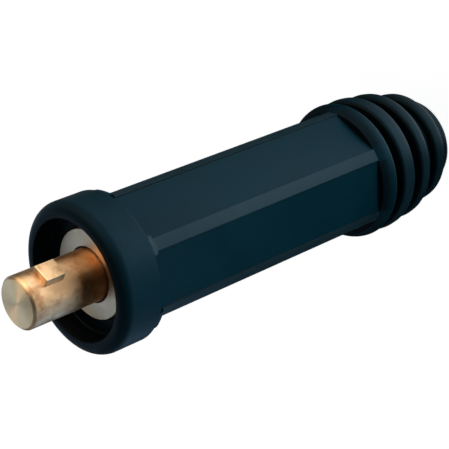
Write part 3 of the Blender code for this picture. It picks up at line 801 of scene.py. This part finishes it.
def makeSetScrew(name, node, body, height, steel):
    # a threaded rod, spun from one pitch of the thread's profile and trimmed by a chamfered blank
    s = screwSizes
    root, crest = s["radius"] - s["threadDepth"], s["radius"]
    pitch, length, chamfer, steps = s["pitch"], s["length"], s["chamfer"], s["stepsPerTurn"]
    rod = bmesh.new()
    section = profileEdges(rod, [(root, 0.0), (root, 0.1 * pitch), (crest, 0.45 * pitch), (crest, 0.6 * pitch),
                                 (root, pitch)])
    bmesh.ops.spin(rod, geom=section, cent=(0, 0, 0), axis=(0, 0, 1), dvec=(0, 0, pitch / steps * mm),
                   angle=math.tau * s["threadTurns"], steps=steps * s["threadTurns"])
    bmesh.ops.remove_doubles(rod, verts=rod.verts, dist=0.002 * mm)
    for low, normal in ((1.5 * pitch, (0, 0, -1)), (1.5 * pitch + length + 0.2, (0, 0, 1))):
        bmesh.ops.bisect_plane(rod, geom=rod.verts[:] + rod.edges[:] + rod.faces[:], dist=0.0001 * mm,
                               plane_co=(0, 0, low * mm), plane_no=normal, clear_outer=True)
        rim = [edge for edge in rod.edges if edge.is_boundary and
               all(abs(vert.co.z - low * mm) < 0.001 * mm for vert in edge.verts)]
        bmesh.ops.contextual_create(rod, geom=rim)
    bmesh.ops.translate(rod, verts=rod.verts, vec=(0, 0, -(1.5 * pitch + 0.1 + length) * mm))
    screw = pieceFrom(name, rod, steel)

    radius = crest + 0.02
    blank = pieceFrom("blank", spun([
        (0.0, 0.0), (radius - chamfer, 0.0), (radius, -chamfer), (radius, chamfer - length),
        (radius - chamfer, -length), (0.0, -length)], 48), steel)
    cutOrJoin(screw, blank, "INTERSECT")

    # the hexagon socket, and the drill point below it
    corner = s["acrossFlats"] / math.sqrt(3) * mm
    socket = bmesh.new()
    bmesh.ops.create_cone(socket, cap_ends=True, segments=6, radius1=corner, radius2=corner,
                          depth=2 * s["socketDepth"] * mm)
    cutOrJoin(screw, pieceFrom("socket", socket, steel), "DIFFERENCE")
    radius = s["acrossFlats"] / 2 - 0.04
    depth = radius / math.tan(math.radians(plugSizes["drillAngle"] / 2))
    place = Matrix.Translation((0.0, 0.0, (0.01 - s["socketDepth"] - depth / 2) * mm))
    drillPoint = bmesh.new()
    bmesh.ops.create_cone(drillPoint, cap_ends=True, segments=32, radius1=radius * mm, radius2=0.0,
                          depth=depth * mm, matrix=place @ Matrix.Rotation(math.pi, 4, "X"))
    cutOrJoin(screw, pieceFrom("drillPoint", drillPoint, steel), "DIFFERENCE")

    # painted shade down the socket, with thin plating, oil and dust
    def inSocket(face):
        radius, height = spotOf(face)
        return 1.0 if radius < s["acrossFlats"] / 2 + 0.05 and 0.5 - length < height < -0.05 else 0.0

    markFaces(screw, "socket", inSocket)
    # its own +Z becomes the plug's +X
    screw.data.transform(Matrix.Translation((s["top"] * mm, 0.0, height * mm)) @ Matrix.Rotation(math.pi / 2, 4, "Y"))
    shadeMesh(screw.data, 28)
    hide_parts(node)
    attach(screw, body)
    print(name + ":", len(screw.data.polygons), "faces")


stageSizes = {
    "floorHalf": 3.0,            # m
    "floorDrop": 0.02,           # mm under the cable end, so that the two faces don't share a plane
    "worldSeen": 1.0,            # the room behind the floor's edge, as white as the floor
    "worldLight": 0.03,          # the room, as the rubber feels it
    "worldMirror": 0.08,         # the room, as the metal mirrors it
}


def makeStage():
    shape = bmesh.new()
    bmesh.ops.create_grid(shape, x_segments=1, y_segments=1, size=stageSizes["floorHalf"],
                          matrix=Matrix.Translation((0.0, 0.0, -stageSizes["floorDrop"] * mm)))
    floor = pieceFrom("studioFloor", shape, paleFloor())

    world = bpy.context.scene.world or bpy.data.worlds.new("studio")
    bpy.context.scene.world = world
    world.use_nodes = True
    tree = world.node_tree
    tree.nodes.clear()
    light = addNode(tree, "ShaderNodeLightPath").outputs
    seen = addNode(tree, "ShaderNodeMath", {0: light["Is Camera Ray"], 1: light["Is Transmission Ray"]},
                   operation="MAXIMUM")
    mirrored = addNode(tree, "ShaderNodeMapRange", {
        "Value": light["Is Glossy Ray"], "To Min": stageSizes["worldLight"], "To Max": stageSizes["worldMirror"]})
    white = addNode(tree, "ShaderNodeMath", {0: seen.outputs["Value"], 1: stageSizes["worldSeen"]},
                    operation="MULTIPLY")
    strength = addNode(tree, "ShaderNodeMath", {0: white.outputs["Value"], 1: mirrored.outputs["Result"]},
                       operation="MAXIMUM")
    sky = addNode(tree, "ShaderNodeBackground",
                  {"Color": hexColour("#ffffff"), "Strength": strength.outputs["Value"]})
    addNode(tree, "ShaderNodeOutputWorld", {"Surface": sky.outputs["Background"]})


# rings of card that only mirrors see: each has two edges, given as radius and height in mm and share of the glow,
# and the glow from place to place, given as azimuth in degrees, colour and brightness
mirrorRings = {
    "nearFloorRing": ((12.6, 0.2, 0.3), (156, 0.2, 1.4), [
        (-78, "#b8d8e0", 0.02), (-54, "#ffffff", 0.20), (-36, "#ffffff", 6.20), (-10, "#ffffff", 6.60),
        (12, "#ffffff", 3.40), (35, "#ffffff", 1.40), (55, "#ffffff", 0.03), (250, "#ffffff", 0.0)]),
    "farFloorRing": ((156, 0.2, 1.0), (700, 0.2, 1.0), [
        (-155, "#a8d0ff", 1.30), (-130, "#c0d8f4", 1.15), (-110, "#c8dcff", 1.60), (-90, "#dcecff", 1.35),
        (-70, "#ffffff", 1.85), (-50, "#fff4f0", 2.00), (-30, "#fff4f0", 1.50), (-10, "#fff8f4", 1.00),
        (10, "#fffaf6", 1.30), (30, "#fcfcff", 1.85), (50, "#fffaf4", 1.25), (68, "#fff4e8", 0.35),
        (90, "#ffffff", 0.12), (130, "#fff0d8", 0.25), (180, "#ffffff", 0.08)]),
    "wallRing": ((700, 0.2, 1.0), (700, 260, 1.0), [
        (-90, "#ffffff", 0.05), (-45, "#ffffff", 0.05), (-28, "#fff0e8", 0.25), (-10, "#fff4e8", 1.10),
        (10, "#ffffff", 1.50), (30, "#ffffff", 1.35), (50, "#fff8e8", 1.35), (70, "#fff0d8", 0.40),
        (88, "#ffffff", 0.05), (110, "#d0ecff", 0.60), (130, "#c8e0ff", 1.10), (150, "#c8e0ff", 1.10),
        (172, "#ffffff", 0.15), (230, "#ffffff", 0.10)]),
    "topRing": ((560, 260, 1.0), (330, 640, 1.0), [
        (-60, "#ffffff", 0.03), (-30, "#ffe8d0", 0.05), (-12, "#ffe8d0", 0.90), (12, "#ffe4c8", 3.40),
        (45, "#ffe4c8", 3.20), (72, "#ffe0c0", 1.90), (95, "#ffffff", 0.25), (118, "#e8f4ff", 0.40),
        (135, "#d0e6ff", 0.75), (165, "#d0e6ff", 0.70), (190, "#ffffff", 0.20), (270, "#ffffff", 0.10)]),
}


def glowAt(stops, azimuth):
    # the ring's colour at an azimuth, between the two stops beside it
    stops = [(place, [part * glow for part in hexColour(colour)[:3]]) for place, colour, glow in stops]
    stops = [(stops[-1][0] - 360, stops[-1][1])] + stops + [(stops[0][0] + 360, stops[0][1])]
    for (start, first), (end, second) in zip(stops, stops[1:]):
        if start <= azimuth <= end:
            share = (azimuth - start) / (end - start)
            return [a + share * (b - a) for a, b in zip(first, second)] + [1.0]


def makeMirrorRings():
    # they stand round the plug as a studio's white, grey and black cards do, and give the brass its dark outlines
    material, tree = newMaterial("glowingCard")
    glow = addNode(tree, "ShaderNodeAttribute", attribute_name="glow")
    shine = addNode(tree, "ShaderNodeEmission", {"Color": glow.outputs["Color"], "Strength": 1.0})
    addNode(tree, "ShaderNodeOutputMaterial", {"Surface": shine.outputs["Emission"]})
    for name, (inner, outer, stops) in mirrorRings.items():
        ring = pieceFrom(name, spun([inner[:2], outer[:2]], 90), material)
        glows = ring.data.attributes.new("glow", "FLOAT_COLOR", "POINT")
        for vert, value in zip(ring.data.vertices, glows.data):
            azimuth = math.degrees(math.atan2(vert.co.y, vert.co.x))
            if azimuth < stops[0][0]:
                azimuth += 360
            atInner = math.dist((math.hypot(vert.co.x, vert.co.y) / mm, vert.co.z / mm), inner[:2]) < 1.0
            share = inner[2] if atInner else outer[2]
            value.color = [part * share for part in glowAt(stops, azimuth)]
        ring.visible_camera = ring.visible_diffuse = ring.visible_shadow = ring.visible_transmission = False


# azimuth in degrees, height of the middle, distance, width and height in m, and brightness on a white card that
# faces the lamp
lamps = {
    "keySoftbox": (-14.0, 0.062, 0.9, 0.9, 0.12, 0.10),
    "fillSoftbox": (-95.0, 0.062, 0.9, 0.9, 0.12, 0.14),
    "rearSoftbox": (148.0, 0.062, 0.9, 0.9, 0.12, 0.40),
}
# the light table lies on the floor and shines up, so that faces which look up get none of it; lengths in m
lightTable = {"azimuth": -20.0, "distance": 0.20, "height": 0.0005, "side": 0.24, "glow": 2.6}


def addLamp(name, place, width, height, energy):
    # a lamp shines along its own -Z and shows in no mirror; the rings do that
    lamp = bpy.data.lights.new(name, "AREA")
    lamp.shape = "RECTANGLE"
    lamp.size, lamp.size_y = width, height
    lamp.energy = energy
    holder = bpy.data.objects.new(name, lamp)
    holder.matrix_world = place
    holder.visible_glossy = False
    bpy.context.scene.collection.objects.link(holder)


def makeLamps():
    facingIn = Matrix(((0, 0, 1, 0), (1, 0, 0, 0), (0, 1, 0, 0), (0, 0, 0, 1)))    # the lamp's -Z to the axis
    for name, (azimuth, middle, distance, width, height, brightness) in lamps.items():
        turn = Matrix.Rotation(math.radians(azimuth), 4, "Z")
        addLamp(name, turn @ Matrix.Translation((distance, 0.0, middle)) @ facingIn, width, height,
                brightness * (math.pi * distance) ** 2)
    t = lightTable
    turn = Matrix.Rotation(math.radians(t["azimuth"]), 4, "Z")
    place = turn @ Matrix.Translation((t["distance"], 0.0, t["height"])) @ Matrix.Rotation(math.pi, 4, "X")
    addLamp("lightTable", place, t["side"], t["side"], t["glow"] * math.pi * t["side"] ** 2)


# the photograph's viewing angle: the plug lies across the picture, seen from the pin's side
cameraSizes = {
    "lens": 120.27,              # mm, on a sensor 36 mm wide
    "place": (0.2483, -0.1552, 0.3073),
    "right": (0.2882, -0.6268, -0.7240),
    "ahead": (-0.6657, 0.4123, -0.6220),
}


def makeCamera():
    camera = bpy.data.cameras.new("photoCamera")
    camera.sensor_width = 36.0
    camera.lens = cameraSizes["lens"]
    camera.clip_start, camera.clip_end = 0.01, 20.0
    holder = bpy.data.objects.new("photoCamera", camera)
    right = Vector(cameraSizes["right"]).normalized()
    ahead = Vector(cameraSizes["ahead"]).normalized()
    up = right.cross(ahead).normalized()
    turn = Matrix((right, up, -ahead)).transposed().to_4x4()
    holder.matrix_world = Matrix.Translation(cameraSizes["place"]) @ turn
    bpy.context.scene.collection.objects.link(holder)
    bpy.context.scene.camera = holder


makeStage()
makeMirrorRings()
makeLamps()
makeCamera()
bpy.context.scene.view_settings.view_transform = "Standard"
print("stage, lamps and camera")

brass = turnedBrass()
steel = zincPlatedSteel()
makeSleeve(mouldedRubber())
makePlugBody(brass)
makeShim(rolledBrassSheet())
makeSetScrew("frontSetScrew", "clamp_screw_front", "front_screw", plugSizes["screwHeights"][1], steel)
makeSetScrew("rearSetScrew", "clamp_screw_rear", "rear_screw", plugSizes["screwHeights"][0], steel)
